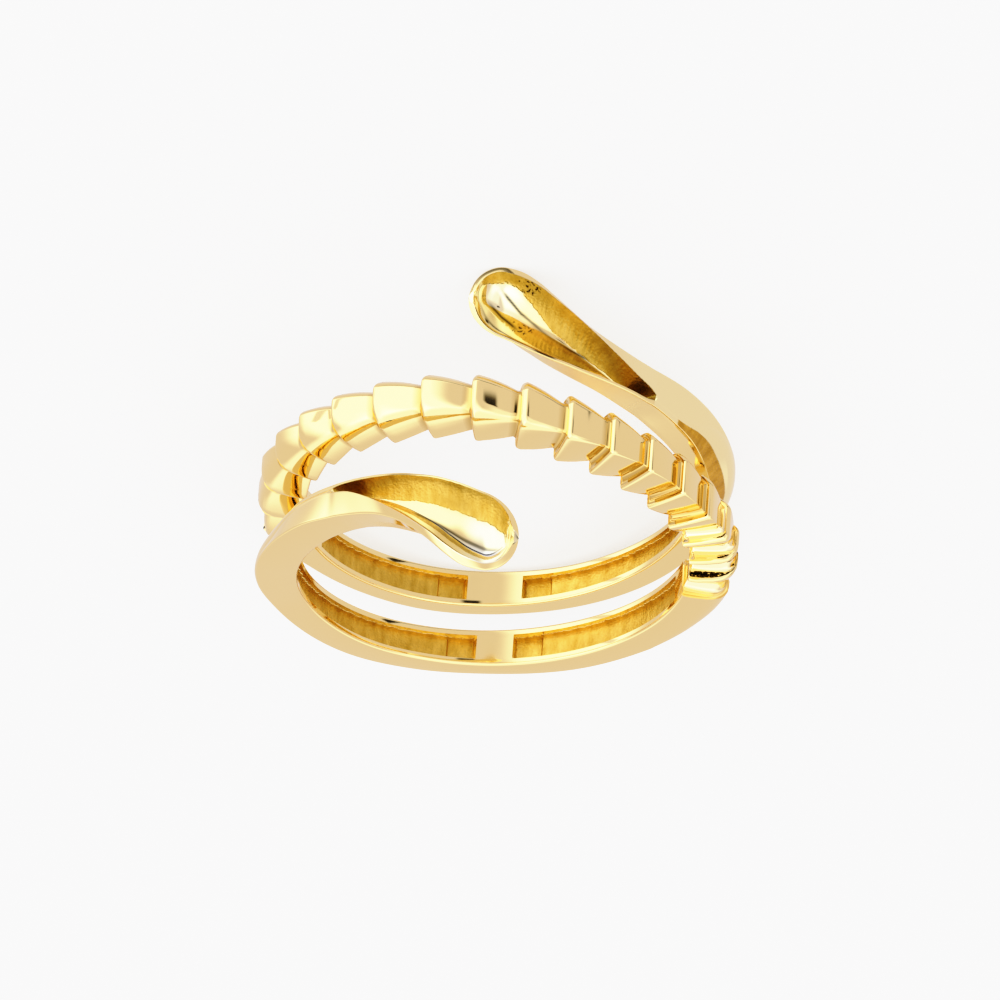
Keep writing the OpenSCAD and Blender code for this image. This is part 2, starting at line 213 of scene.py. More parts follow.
def section(corners, rounds, bulge, hollow, channel):
    """Closed outline of one section, as points of radius and height."""
    front_in, front_out, crest, rim, back_out, back_in = [np.array(c, float) for c in corners]
    wide = front_in[1] - back_in[1]
    lip = min(LIP_W, LIP_MOST * wide)
    slant = min(SLANT, SLANT_MOST * wide)
    lip_front, lip_back = front_in - (0, lip), back_in + (0, lip)
    first = rounded(lip_front, front_in, front_out, rounds[0], INNER_STEPS)
    second = rounded(front_in, front_out, crest, rounds[1], CORNER_STEPS, CORNER_MOST)
    swell = 4 * FACE_BULGE * min(1, wide / 2)
    face = [mix(first[-1], second[0], u) + (0, swell * u * (1 - u))
            for u in np.linspace(0, 1, FACE_STEPS + 1)[1:-1]]
    top = []
    for u in ACROSS:
        dip = hollow * (1 - abs(2 * u**VALLEY - 1) ** WALL_POWER) ** FLOOR_POWER
        top.append(mix(crest, rim, u) + (4 * bulge * u * (1 - u) - dip, 0))
    third = rounded(rim, back_out, back_in, rounds[2], CORNER_STEPS)
    fourth = rounded(back_out, back_in, lip_back, rounds[0], INNER_STEPS)
    back = inside(third[-1], fourth[0], FACE_STEPS)
    floor_front = lip_front + (channel, -slant)
    floor_back = lip_back + (channel, slant)
    floor = [mix(floor_back, floor_front, u) for u in np.linspace(0, 1, FLOOR_POINTS)]
    edge_before, edge_after = toward(crest, front_out, EDGE_NEAR), toward(rim, back_out, EDGE_NEAR)
    return np.array([*first, *face, *second, edge_before, *top, edge_after, *third, *back, *fourth,
                     lip_back, *floor, lip_front])


# How far across each cup its wall is left as cast: path angles, and the share from the crest
FRONT_CAST = ([-6.3, -5, -1.5, 3.5, 8, 13, 19, 25, 31, 36, 41],
              [0.47, 0.65, 0.72, 0.72, 0.70, 0.66, 0.60, 0.48, 0.40, 0.0, 0.0])
BACK_CAST = ([-6, -2, 2, 5, 8, 11, 14, 19, 24, 30, 34, 37, 41],
             [0.05, 0.06, 0.05, 0.09, 0.17, 0.25, 0.33, 0.35, 0.35, 0.32, 0.32, 1.0, 1.0])
CUP_END = 42.2

# Half the width of the cast surface's soft border, and where it fades in from a rim and from the tip
BORDER, RIM_FADE, TIP_FADE = 0.09, (-0.03, 0.015), (-7.5, -4)

# Painted shade on the cast wall of each cup: path angles, and the share of the gold's own colour that it
# leaves
FRONT_CAST_SHADE = ([0, 6, 12, 20, 26, 31, 36, 40], [0.82, 0.66, 0.78, 0.90, 0.88, 0.82, 0.76, 0.70])
BACK_CAST_SHADE = ([0, 10, 20, 28, 34, 40, 43], [0.82, 0.68, 0.66, 0.64, 0.66, 0.60, 0.36])

# Painted dark reflections, drawn as streaks in the cups: path angles, place across, depth of tone, and width
# across
FRONT_DARK_REFLECTION = ([-5, -3, 2, 9, 14, 18, 20], [0.37, 0.38, 0.39, 0.38, 0.35, 0.33, 0.32],
                [0, 0.6, 0.93, 0.98, 0.98, 0.9, 0], 0.024)
BACK_DARK_REFLECTION = ([-1, 1, 5, 11, 15, 19, 23, 25], [0.12, 0.20, 0.34, 0.44, 0.46, 0.44, 0.36, 0.34],
               [0, 0.97, 0.97, 0.6, 0.5, 0.9, 0.9, 0], 0.03)
SHORT_DARK_REFLECTION = ([-4.5, -2.5, 0, 3, 5], [0.32, 0.41, 0.53, 0.62, 0.66], [0, 0.9, 0.95, 0.9, 0], 0.04)

# Painted light that the gold's colour is multiplied by: a painted reflection on the back cup's polished
# floor, a painted highlight in the front cup's near strip, painted reflections at the cups' round ends, a
# painted highlight on top of the back band, and painted shade on its rough strip
BEIGE_REFLECTION_TONE, STRIP_HIGHLIGHT_TONE, ROUND_REFLECTION_TONE, BAND_HIGHLIGHT_TONE, SLOPE_SHADE_TONE = np.array([
    (0.90, 0.80, 0.68),
    (1.02, 1.20, 1.80),
    (1.00, 1.12, 1.50),
    (1.04, 1.12, 1.28),
    (0.86, 0.72, 0.56),
])

# The same in the hollows under the wide ends: a painted highlight in the first few, by three o'clock, painted
# shade in the others, and how many the first are
COLLAR_HIGHLIGHT_TONE, GAP_SHADE_TONE, COLLARS = (1.0, 1.05, 1.3), (0.78, 0.68, 0.50), 4

# Where those tones fade in and out, across the top and in path angles
BEIGE_ACROSS, BEIGE_FADE = ((0.42, 0.47), (0.56, 0.66)), (2, 7)
STRIP_ACROSS, STRIP_ALONG = (0.30, 0.40), ((-6, -2), (17, 22))
ROUND_FADE, BAND_ALONG = (1, 7), ((18, 40), (85, 110))

# Where the satin of the front inner corner and of the back half's back face fades out
FRONT_SATIN, BACK_SATIN = (28, 36), (36, 46)

# The rough strip on the back band's slope: path angles, where it starts across the top, and half the
# width of its border
SLOPE_STRIP, SLOPE_BORDER = ([51, 55, 59, 63, 72, 88, 96], [1.0, 0.84, 0.64, 0.68, 0.80, 0.84, 1.0]), 0.04

# Painted dark reflections, as black flecks on the back cup's wall: path angles, how far they reach from the
# crest, how soft their edge is, and how many there are, as a share of darkness
DARK_REFLECTION_FLECKS, FLECK_EDGE, FLECK_SHARE = ([3.5, 5, 8, 10], [0, 0.12, 0.07, 0]), 0.03, 0.74

# Painted black shade in the hollows under wide ends, by scale: how much of the hollow's height each fills,
# and the point of the outline where it starts. They end with the front outer edge.
PAINTED_HOLLOW_SHADE = {1: (0.62, 0), 2: (0.42, 8), 3: (0.42, 8), 4: (0.36, 9)}
EDGE_END = INNER_STEPS + FACE_STEPS + CORNER_STEPS

# Fine threads across the back cup's wall: their spacing in degrees, their height in millimetres, how
# strongly they bow and about which place across. Then where they set in along the path, and how far
# across they fade out, from one reach to another over some path angles.
THREAD, THREAD_HEIGHT, THREAD_BOW, THREAD_MIDDLE = 1.15, 0.016, 9, 0.15
THREAD_START, THREAD_FADE, THREAD_REACH, THREAD_REACH_ALONG = (6, 11), 0.10, (0.30, 0.80), (20, 34)


def smooth_step(low, high, x):
    t = np.clip((x - low) / (high - low), 0, 1)
    return t * t * (3 - 2 * t)


def soft_band(rise, fall, x):
    """One between a rise and a fall, each given by its start and end."""
    return smooth_step(*rise, x) * (1 - smooth_step(*fall, x))


def tint(share, tone):
    """What a colour is multiplied by where a tone is there in part."""
    return 1 + np.asarray(share)[..., None] * (tone - 1)


def plain_tone(count):
    """No change of colour, and no satin, at each of a number of points."""
    return np.tile((1.0, 1.0, 1.0, 0.0), (count, 1))


def cup_cast(q, back):
    """Share of cast surface at each point across a cup at path angle q."""
    if q > CUP_END:
        return 0 * ACROSS
    edge = np.interp(q, *(BACK_CAST if back else FRONT_CAST))
    share = smooth_step(edge - BORDER, edge + BORDER, ACROSS)
    if back:
        share = 1 - share
    between_rims = smooth_step(*RIM_FADE, ACROSS) * smooth_step(*RIM_FADE, 1 - ACROSS)
    return share * between_rims * smooth_step(*TIP_FADE, q)


def dark_reflection(q, table):
    """Depth of a painted dark reflection, drawn as a streak, at each point across a cup at path angle q."""
    angles, places, depths, width = table
    off = (ACROSS - np.interp(q, angles, places)) / width
    return np.interp(q, angles, depths) * np.exp(-off**2)


def cup_tone(q, back):
    """What the gold's colour is multiplied by at each point across a cup at path angle q: painted shade on
    the cast wall, painted reflections and highlights, and painted dark reflections as streaks.
    """
    if q > CUP_END:
        return np.ones((len(ACROSS), 3))
    cast = cup_cast(q, back)
    tone = tint(cast, np.full(3, np.interp(q, *(BACK_CAST_SHADE if back else FRONT_CAST_SHADE))))
    if back:
        dark = np.maximum(dark_reflection(q, BACK_DARK_REFLECTION), dark_reflection(q, SHORT_DARK_REFLECTION))
        tone *= tint(soft_band(*BEIGE_ACROSS, ACROSS) * smooth_step(*BEIGE_FADE, q), BEIGE_REFLECTION_TONE)
    else:
        dark = dark_reflection(q, FRONT_DARK_REFLECTION)
        tone *= tint((1 - smooth_step(*STRIP_ACROSS, ACROSS)) * soft_band(*STRIP_ALONG, q), STRIP_HIGHLIGHT_TONE)
    tone *= tint((1 - smooth_step(*ROUND_FADE, q)) * (1 - cast), ROUND_REFLECTION_TONE)
    return tone * (1 - dark[:, None])


def threads(q):
    """Height of the threads at each point across the back cup at path angle q."""
    bow = THREAD_BOW * (ACROSS - THREAD_MIDDLE) ** 2
    reach = mix(*THREAD_REACH, smooth_step(*THREAD_REACH_ALONG, q))
    fade = smooth_step(*THREAD_START, q) * (1 - smooth_step(THREAD_FADE, reach, ACROSS))
    return THREAD_HEIGHT * fade * cup_cast(q, True) * np.sin(2 * math.pi * (q / THREAD + bow))


def reflection_flecks(q):
    """Share of painted dark reflection, drawn as black flecks, at each point across the back cup at path
    angle q.
    """
    if not DARK_REFLECTION_FLECKS[0][0] < q < DARK_REFLECTION_FLECKS[0][-1]:
        return 0 * ACROSS
    return FLECK_SHARE * (1 - smooth_step(0, FLECK_EDGE, ACROSS - np.interp(q, *DARK_REFLECTION_FLECKS)))


def half_section(q, channel):
    """Section of the front half at path angle q. Towards the tip its heights close in on TIP_Z."""
    row = row_at(HALF, q)
    away = between(0, (ROUND_END - q) / (ROUND_END - TIP), 1)
    in_hollow = between(0, (ROUND_END - q) / (ROUND_END - HOLLOW_START), 1)
    front = math.sqrt(1 - away**2)
    opened = math.sqrt(1 - in_hollow**2)
    crest_open = max(opened, TIP_OPEN * front)
    inner = BORE_R + TIP_BORE * away**TIP_POWER
    crest = BORE_R + row[CREST]
    back_r = BORE_R + row[BACK_CORNER]
    hollow = between(0, row[HOLLOW], 1)
    corners = [
        (inner, mix(TIP_Z, row[FRONT_IN], front)),
        (BORE_R + row[CORNER], mix(TIP_Z, row[FRONT_OUT], front)),
        (crest, mix(TIP_Z, row[CREST_Z], crest_open)),
        (mix(back_r, crest, mix(RIM_PLAIN, RIM_CUP, hollow)),
         mix(TIP_Z, row[BACK_OUT] + mix(BEVEL_W, RIM_W, hollow), crest_open)),
        (back_r, mix(TIP_Z, row[BACK_OUT], front)),
        (inner, mix(TIP_Z, row[BACK_IN], front)),
    ]
    inner_round = mix(*HALF_INNER, ramp(*HALF_INNER_ALONG, q))
    edge = mix(*HALF_EDGE, ramp(*HALF_EDGE_ALONG, q))
    return section(corners, (inner_round, edge, HALF_RIM), TOP_BULGE * (crest - back_r),
                   CUP_DEPTH * hollow * opened, channel)


def turned_order(n):
    """The order of n outline points turned over, from the front inner corner again."""
    return [(2 * n - FLOOR_POINTS - 3 - i) % n for i in range(n)]


def turned(outline):
    """The same outline turned over, for the back half."""
    return outline[turned_order(len(outline))] * (1, -1)


def scale_section(s, along, size, face_size):
    """Section of a scale at path angle s, where a size is 0 at the neck and 1 at the wide end."""
    row = row_at(SCALES, s)
    less, face_less = 1 - size, 1 - face_size
    front = row[SCALE_FRONT] - row[FRONT_STEP] * face_less
    back = row[SCALE_BACK] + row[BACK_STEP] * less
    outer = BORE_R + row[SCALE_CREST] - STEP_OUT * row[OUT_SHARE] * less
    inner = BORE_R + STEP_IN * face_less
    crest = np.array((outer, mix(back, front, CREST_SHARE)))
    back_out = np.array((outer - BACK_DROP + NECK_LOSS * less, back))
    corners = [
        (inner, front + FACE_LEAN * face_size),
        (outer - EDGE_IN, front),
        crest,
        mix(back_out, crest, BEVEL_SHARE),
        back_out,
        (inner, back),
    ]
    edge = row[EDGE_ROUND] * (0.6 + 0.5 * between(0, along, 1))
    return section(corners, (0.12, edge, 0.12), min(0.11, 0.04 + 0.07 * edge), 0, 0)


def channel_at(q, bridge):
    """Depth of the channel at path angle q of a half."""
    off = abs(q - bridge[0])
    if off < bridge[1] or q < CHANNEL_START or q > CHANNEL_END:
        return 0
    return POCKET_DEPTH if off < bridge[1] + POCKET else CHANNEL_DEPTH


def steps(a, b, step):
    """Even steps from a to b, without b."""
    n = max(1, round((b - a) / step))
    return [mix(a, b, i / n) for i in range(n)]


def half_angles(bridge, end, cup_step):
    """Path angles of a half, close together at its tip and at each end of a channel or pocket."""
    wall, cup_stop, tip_steps = 0.35, 45, 24
    start, stop = bridge[0] - bridge[1], bridge[0] + bridge[1]
    angles = [mix(TIP + 0.005, ROUND_END, 1 - math.cos(math.radians(90 * i / tip_steps)))
              for i in range(tip_steps)]
    angles += steps(ROUND_END, cup_stop, cup_step) + steps(cup_stop, CHANNEL_START, 1.2)
    marks = [CHANNEL_START, CHANNEL_START + wall, start - POCKET - wall, start - POCKET + wall,
             start - wall, start + wall, stop - wall, stop + wall, stop + POCKET - wall,
             stop + POCKET + wall, CHANNEL_END, CHANNEL_END + wall, end - 0.1]
    for a, b in zip(marks, marks[1:]):
        angles += steps(a, b, 1.5)
    return angles + [marks[-1]]


# The hollow under a wide end, from its corner to the next neck: place in fillets' lengths, and size
BOWL = [
    (-0.16, 0.88),
    (-0.34, 0.74),
    (-0.44, 0.60),
    (-0.46, 0.47),
    (-0.36, 0.35),
    (-0.16, 0.24),
    (0.16, 0.14),
    (0.56, 0.05),
    (1, 0),
]

# Sections along a scale's flare and round its wide end, how far the flare is domed, the length of the
# full rounded end, and where the face starts to round
FLARE_STEPS, END_STEPS, DOME, END_LENGTH, FACE_START = 6, 7, 0.08, 0.2, 0.3


def drop(u):
    """How far a rounded end has dropped at a share u of its length."""
    return (1 - math.sqrt(1 - 0.96 * u**2)) / 0.8


def growth(before, scale):
    """Growth of a scale along its length, outside and at its face: the hollow under the wide end
    before it, a domed flare and a rounded corner."""
    rows = []
    for u, size in BOWL:
        outside, face = [size * (1 - share * before[LIP]) for share in (CORNER_SHARE, FACE_SHARE)]
        rows.append((u * before[FILLET], outside, face))
    lip = scale[LIP]
    start = 1 - END_LENGTH * lip
    for i in range(1, FLARE_STEPS + 1):
        u = i / FLARE_STEPS
        size = u + DOME * math.sin(math.pi * u)
        rows.append((mix(before[FILLET], start, u), size, size))
    for i in range(1, END_STEPS + 1):
        u = i / END_STEPS
        late = max(0, (u - FACE_START) / (1 - FACE_START))
        outside, face = 1 - CORNER_SHARE * lip * drop(u), 1 - FACE_SHARE * lip * drop(late)
        rows.append((mix(start, 0.998, u), outside, face))
    return rows


def painted_dark(k, size, count):
    """Share of painted black shade at each point of a section in the hollow before scale k."""
    dark = np.zeros(count)
    height, start = PAINTED_HOLLOW_SHADE.get(k, (0, 0))
    if height:
        along = np.linspace(-1, 1, EDGE_END - start + 1)
        fill = height * (1 - along**2) ** 0.35
        dark[start:EDGE_END + 1] = smooth_step(-0.08, 0.08, fill - (1 - size))
    return dark


def front_sections():
    for q in half_angles(FRONT_BRIDGE, SCALES[0][0], 0.7):
        channel = channel_at(q, FRONT_BRIDGE)
        outline = half_section(q, channel)
        cast, dark, tone = np.zeros(len(outline)), np.zeros(len(outline)), plain_tone(len(outline))
        cast[TOP] = cup_cast(q, False)
        cast[FLOOR] = 1 if channel else 0
        tone[TOP, :3] = cup_tone(q, False)
        tone[INNER_CORNER, 3] = 1 - smooth_step(*FRONT_SATIN, q)
        yield q, outline, cast, dark, tone


def scale_sections():
    for k, (low, high) in enumerate(zip(SCALES, SCALES[1:])):
        for i, (u, size, face_size) in enumerate(growth(low, high)):
            s = mix(low[0], high[0], u)
            outline = scale_section(s, u, size, face_size)
            cast, dark, tone = np.zeros(len(outline)), np.zeros(len(outline)), plain_tone(len(outline))
            if i < len(BOWL):
                # Painted black shade in the hollow, and over its whole section a painted highlight in the
                # first few hollows and painted shade in the others
                dark = painted_dark(k, BOWL[i][1], len(outline))
                tone[:, :3] = COLLAR_HIGHLIGHT_TONE if k < COLLARS else GAP_SHADE_TONE
            yield s, outline, cast, dark, tone


def back_sections():
    """The back half's sections, from the last scale to the tip."""
    for q in reversed(half_angles(BACK_BRIDGE, TURN - SCALES[-1][0], 0.22)):
        channel = channel_at(q, BACK_BRIDGE)
        outline = half_section(q, channel)
        outline[TOP, 0] += threads(q)
        cast, dark, tone = np.zeros(len(outline)), np.zeros(len(outline)), plain_tone(len(outline))
        cast[TOP] = cup_cast(q, True)
        cast[FLOOR] = 1 if channel else 0
        # Painted dark reflections as black flecks, and painted shade, reflections and highlights in the cup
        dark[TOP] = reflection_flecks(q)
        tone[TOP, :3] = cup_tone(q, True)
        tone[BACK_FACE, 3] = 1 - smooth_step(*BACK_SATIN, q)
        on_band = soft_band(*BAND_ALONG, q)
        # Painted highlight on top of the back band
        tone[FRONT_CORNER, :3] = tint(on_band, BAND_HIGHLIGHT_TONE)
        if q > CUP_END:
            start = np.interp(q, *SLOPE_STRIP)
            slope = (start < 1) * smooth_step(start - SLOPE_BORDER, start + SLOPE_BORDER, ACROSS)
            cast[TOP], cast[RIM_CORNER] = slope, slope[-1]
            # Painted shade on the rough strip, and the painted highlight on the band beside it
            tone[TOP, :3] = tint((1 - slope) * on_band, BAND_HIGHLIGHT_TONE) + tint(slope, SLOPE_SHADE_TONE) - 1
            tone[RIM_CORNER, :3] = tone[TOP.stop - 1, :3]
        order = turned_order(len(cast))
        yield TURN - q, turned(outline), cast[order], dark[order], tone[order]


def rest_angles():
    """The turns about X and Y that lay the ring down as it rests."""
    rim, bottom = row_at(HALF, ROUND_END), row_at(HALF, 180)
    rise = row_at(HALF, 165)[FRONT_OUT] - row_at(HALF, 195)[FRONT_OUT]
    across = 2 * BORE_R + rim[CORNER] + bottom[CORNER]
    rest_x = math.atan((rim[FRONT_OUT] - bottom[FRONT_OUT]) / across)
    rest_y = math.atan(rise / ((BORE_R + bottom[CORNER]) * math.pi / 6))
    return rest_x, rest_y


REST_X, REST_Y = rest_angles()
REST = Matrix.Rotation(REST_Y, 3, "Y") @ Matrix.Rotation(-REST_X, 3, "X")


def ring_mesh():
    """The ring from the front tip to the back tip: points in millimetres, faces, at each point the shares of
    cast surface and of painted black for shade and dark reflections, the tone with its painted shade,
    reflections and highlights, and the place along and across the band, and the point that lies at the
    scene's origin."""
    found = [*front_sections(), *scale_sections(), *back_sections()]
    across = len(found[0][1])
    points, casts, darks, tones, paths = [], [], [], [], []
    for s, outline, cast, dark, tone in found:
        a = math.radians(s)
        radius, height = outline[:, 0], outline[:, 1]
        points.append(np.column_stack([radius * math.sin(a), -radius * math.cos(a), height]))
        casts.append(cast)
        darks.append(dark)
        tones.append(tone)
        paths.append(np.column_stack([np.full(across, a * BORE_R), height, radius]))
    tip_r = BORE_R + TIP_BORE + 0.1
    a = math.radians(TIP)
    points.append([(tip_r * math.sin(a), -tip_r * math.cos(a), TIP_Z)])
    a = math.radians(TURN - TIP)
    points.append([(tip_r * math.sin(a), -tip_r * math.cos(a), -TIP_Z)])
    points = np.concatenate(points) @ np.array(REST).T
    casts = np.concatenate(casts + [[0, 0]])
    darks = np.concatenate(darks + [[0, 0]])
    tones = np.concatenate(tones + [plain_tone(2)])
    paths = np.concatenate(paths + [np.zeros((2, 3))])
    low, high = points.min(axis=0), points.max(axis=0)
    origin = np.array([(low[0] + high[0]) / 2, (low[1] + high[1]) / 2, low[2]])
    faces = []
    last = (len(found) - 1) * across
    for i in range(0, last, across):
        for j in range(across):
            a, b = i + j, i + (j + 1) % across
            faces.append((a, b, b + across, a + across))
    for j in range(across):
        after = (j + 1) % across
        faces.append((after, j, last + across))
        faces.append((last + j, last + after, last + across + 1))
    return points - origin, faces, casts, darks, tones, paths, origin


def node(tree, kind, inputs=None, **settings):
    """A shader node with its settings and input values or links."""
    made = tree.nodes.new(kind)
    for name, value in settings.items():
        setattr(made, name, value)
    for name, value in (inputs or {}).items():
        socket = made.inputs[name]
        if isinstance(name, str):
            socket = next(s for s in made.inputs if s.name == name and s.enabled)
        if isinstance(value, bpy.types.NodeSocket):
            tree.links.new(value, socket)
        else:
            socket.default_value = value
    return made


def result(mix_node):
    return next(s for s in mix_node.outputs if s.enabled)


def new_material(name):
    material = bpy.data.materials.new(name)
    material.use_nodes = True
    tree = material.node_tree
    tree.nodes.clear()
    return material, tree


# The polished gold, the cast surface where its streaks are dark and light, and the black painted for shade
# under wide ends and for dark reflections
GOLD = (0.96, 0.765, 0.365, 1.0)
CAST_DARK, CAST_LIGHT = (0.58, 0.34, 0.05, 1.0), (0.84, 0.56, 0.13, 1.0)
BLACK = (0.02, 0.012, 0.003, 1.0)

# How rough the polish and the cast surface are, from one place to another, and the satin
POLISH, CAST_ROUGH, SATIN = (0.04, 0.09), (0.30, 0.42), 0.32

# How fine each noise is, in waves to the metre, and the cast surface's streaks, in waves to the
# millimetre along the band and across it
RAGGED, GRAIN, SPECKS, SMEAR, WAVES = 4500.0, 9000.0, 7000.0, 1300.0, 420.0
STREAKS = (2.6, 0.8, 0.8)


def noise(tree, vector, scale, detail, roughness=0.5):
    return node(tree, "ShaderNodeTexNoise", {
        "Vector": vector,
        "Scale": scale,
        "Detail": detail,
        "Roughness": roughness,
    }).outputs["Fac"]


def attribute(tree, name):
    return node(tree, "ShaderNodeAttribute", attribute_name=name).outputs


def sums(tree, a, b, c):
    """a times b, plus c."""
    return node(tree, "ShaderNodeMath", {0: a, 1: b, 2: c}, operation="MULTIPLY_ADD").outputs["Value"]


def mapped(tree, value, ends, name="To", **settings):
    """A value mapped to two ends from zero to one, or from two ends to zero to one."""
    return node(tree, "ShaderNodeMapRange", {
        "Value": value,
        f"{name} Min": ends[0],
        f"{name} Max": ends[1],
    }, **settings).outputs["Result"]


def blended(tree, share, a, b, kind, **settings):
    made = node(tree, "ShaderNodeMix", {"Factor": share, "A": a, "B": b}, data_type=kind, **settings)
    return result(made)


def gold_colour(tree, place, streaks, cast):
    """The gold's colour: polished or as cast, toned with painted shade, reflections and highlights, and
    painted black for shade under wide ends and for dark reflections.
    """
    tone = attribute(tree, "tone")["Color"]
    # The painted black: shade in the hollows under wide ends and dark reflections as flecks on the back cup's
    # wall, broken up by specks
    hollow = attribute(tree, "painted_dark")["Fac"]
    ramp_node = node(tree, "ShaderNodeValToRGB", {"Fac": streaks})
    low, high = ramp_node.color_ramp.elements
    low.position, low.color = 0.32, CAST_DARK
    high.position, high.color = 0.68, CAST_LIGHT
    metal = blended(tree, cast, GOLD, ramp_node.outputs["Color"], "RGBA")
    # The tone paints shade, reflections and highlights into the colour
    toned = blended(tree, 1.0, metal, tone, "RGBA", blend_type="MULTIPLY")
    filled = sums(tree, noise(tree, place, SPECKS, 2.0), -1.1, hollow)
    black = mapped(tree, filled, (0.22, 0.34), "From")
    return blended(tree, black, toned, BLACK, "RGBA")


def gold_material():
    """Yellow gold, polished, with a satin in places, and as cast in the channels and in the cups."""
    material, tree = new_material("polished_gold")
    place = node(tree, "ShaderNodeTexCoord").outputs["Object"]
    path = attribute(tree, "path")["Vector"]
    satin_share = attribute(tree, "tone")["Alpha"]
    border = sums(tree, noise(tree, place, RAGGED, 3.0), 0.6, attribute(tree, "cast")["Fac"])
    cast = mapped(tree, border, (0.72, 0.88), "From", interpolation_type="SMOOTHSTEP")
    stretched = node(tree, "ShaderNodeVectorMath", {0: path, 1: STREAKS}, operation="MULTIPLY")
    streaks = noise(tree, stretched.outputs["Vector"], 1.0, 4.0, 0.65)

    polish = mapped(tree, noise(tree, place, SMEAR, 3.0), POLISH)
    satin = blended(tree, satin_share, polish, SATIN, "FLOAT")
    roughness = blended(tree, cast, satin, mapped(tree, streaks, CAST_ROUGH), "FLOAT")

    soft = node(tree, "ShaderNodeBump", {
        "Height": noise(tree, place, WAVES, 1.0),
        "Distance": 0.000012,
        "Strength": 1.0,
    })
    both = node(tree, "ShaderNodeMath", {0: streaks, 1: noise(tree, place, GRAIN, 2.0)})
    pitted = node(tree, "ShaderNodeMath", {0: both.outputs["Value"], 1: cast}, operation="MULTIPLY")
    normal = node(tree, "ShaderNodeBump", {
        "Height": pitted.outputs["Value"],
        "Distance": 0.00004,
        "Strength": 0.7,
        "Normal": soft.outputs["Normal"],
    })
    shader = node(tree, "ShaderNodeBsdfPrincipled", {
        "Base Color": gold_colour(tree, place, streaks, cast),
        "Metallic": 1.0,
        "Roughness": roughness,
        "Normal": normal.outputs["Normal"],
    })
    node(tree, "ShaderNodeOutputMaterial", {"Surface": shader.outputs["BSDF"]})
    return material


def build_ring():
    points, faces, casts, darks, tones, paths, origin = ring_mesh()
    mesh = bpy.data.meshes.new("ring_band")
    mesh.from_pydata([tuple(p) for p in points * MM], [], faces)
    mesh.validate()
    # The cast share, and the share of painted black for shade under wide ends and dark reflections
    for name, values in (("cast", casts), ("painted_dark", darks)):
        share = mesh.attributes.new(name, "FLOAT", "POINT")
        share.data.foreach_set("value", values.astype(np.float32))
    path = mesh.attributes.new("path", "FLOAT_VECTOR", "POINT")
    path.data.foreach_set("vector", paths.astype(np.float32).ravel())
    tone = mesh.attributes.new("tone", "FLOAT_COLOR", "POINT")
    tone.data.foreach_set("color", tones.astype(np.float32).ravel())
    mesh.polygons.foreach_set("use_smooth", [True] * len(mesh.polygons))
    mesh.set_sharp_from_angle(angle=math.radians(40))
    mesh.materials.append(gold_material())
    ring = bpy.data.objects.new("ring_band", mesh)
    bpy.context.scene.collection.objects.link(ring)
    weigh = ring.modifiers.new("even_normals", "WEIGHTED_NORMAL")
    weigh.keep_sharp = True
    weigh.weight = 90
    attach(ring, "root")
    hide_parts("band")
    return ring, origin


ring, ORIGIN = build_ring()
print("triangles", sum(len(p.vertices) - 2 for p in ring.data.polygons))

# The camera in the ring's own directions: its elevation over the ring's face, its roll, how far twelve
# o'clock is turned in the picture, its distance from the ring's middle and its scale. Then its frame:
# the sensor and the picture's shift.
ELEVATION = math.radians(61.3)
ROLL = math.radians(4.3)
NOON = math.radians(3.0)
DISTANCE = 150.0
PIXELS_PER_MM, PIXELS = 22.5, 1000
SENSOR_W, SHIFT = 36.0, (0.003, 0.0286)


def ring_direction(x, u, z):
    """A direction given as picture right, twelve o'clock and front, in the scene's frame."""
    right = -x * math.cos(NOON) - u * math.sin(NOON)
    back = x * math.sin(NOON) - u * math.cos(NOON)
    return REST @ Vector((right, back, z))


def add_camera():
    middle = Vector(tuple(-ORIGIN)) * MM
    out = ring_direction(0, math.sin(ELEVATION), math.cos(ELEVATION))
    level = ring_direction(0, math.cos(ELEVATION), -math.sin(ELEVATION))
    side = ring_direction(1, 0, 0)
    right = side * math.cos(ROLL) + level * math.sin(ROLL)
    up = level * math.cos(ROLL) - side * math.sin(ROLL)
    data = bpy.data.cameras.new("camera")
    data.sensor_width = SENSOR_W
    data.lens = DISTANCE * PIXELS_PER_MM * SENSOR_W / PIXELS
    data.shift_x, data.shift_y = SHIFT
    data.clip_start = 0.01
    camera = bpy.data.objects.new("camera", data)
    turn = Matrix((right, up, out)).transposed()
    camera.matrix_world = Matrix.Translation(middle + out * DISTANCE * MM) @ turn.to_4x4()
    bpy.context.scene.collection.objects.link(camera)
    bpy.context.scene.camera = camera


add_camera()

# The floor: its half width in metres, its own grey, and how much it glows
FLOOR_SIZE, FLOOR_GREY, FLOOR_GLOW = 1.5, 0.36, 0.64


def add_floor():
    mesh = bpy.data.meshes.new("floor")
    corners = [(x * FLOOR_SIZE, y * FLOOR_SIZE, 0) for x, y in ((-1, -1), (1, -1), (1, 1), (-1, 1))]
    mesh.from_pydata(corners, [], [(0, 1, 2, 3)])
    material, tree = new_material("pale_floor")
    matt = node(tree, "ShaderNodeBsdfDiffuse", {"Color": (FLOOR_GREY, FLOOR_GREY, FLOOR_GREY, 1.0)})
    glow = node(tree, "ShaderNodeEmission", {"Color": (FLOOR_GLOW, FLOOR_GLOW, FLOOR_GLOW, 1.0)})
    both = node(tree, "ShaderNodeAddShader", {0: matt.outputs["BSDF"], 1: glow.outputs["Emission"]})
    node(tree, "ShaderNodeOutputMaterial", {"Surface": both.outputs["Shader"]})
    mesh.materials.append(material)
    floor = bpy.data.objects.new("floor", mesh)
    bpy.context.scene.collection.objects.link(floor)
    floor.visible_glossy = False


add_floor()


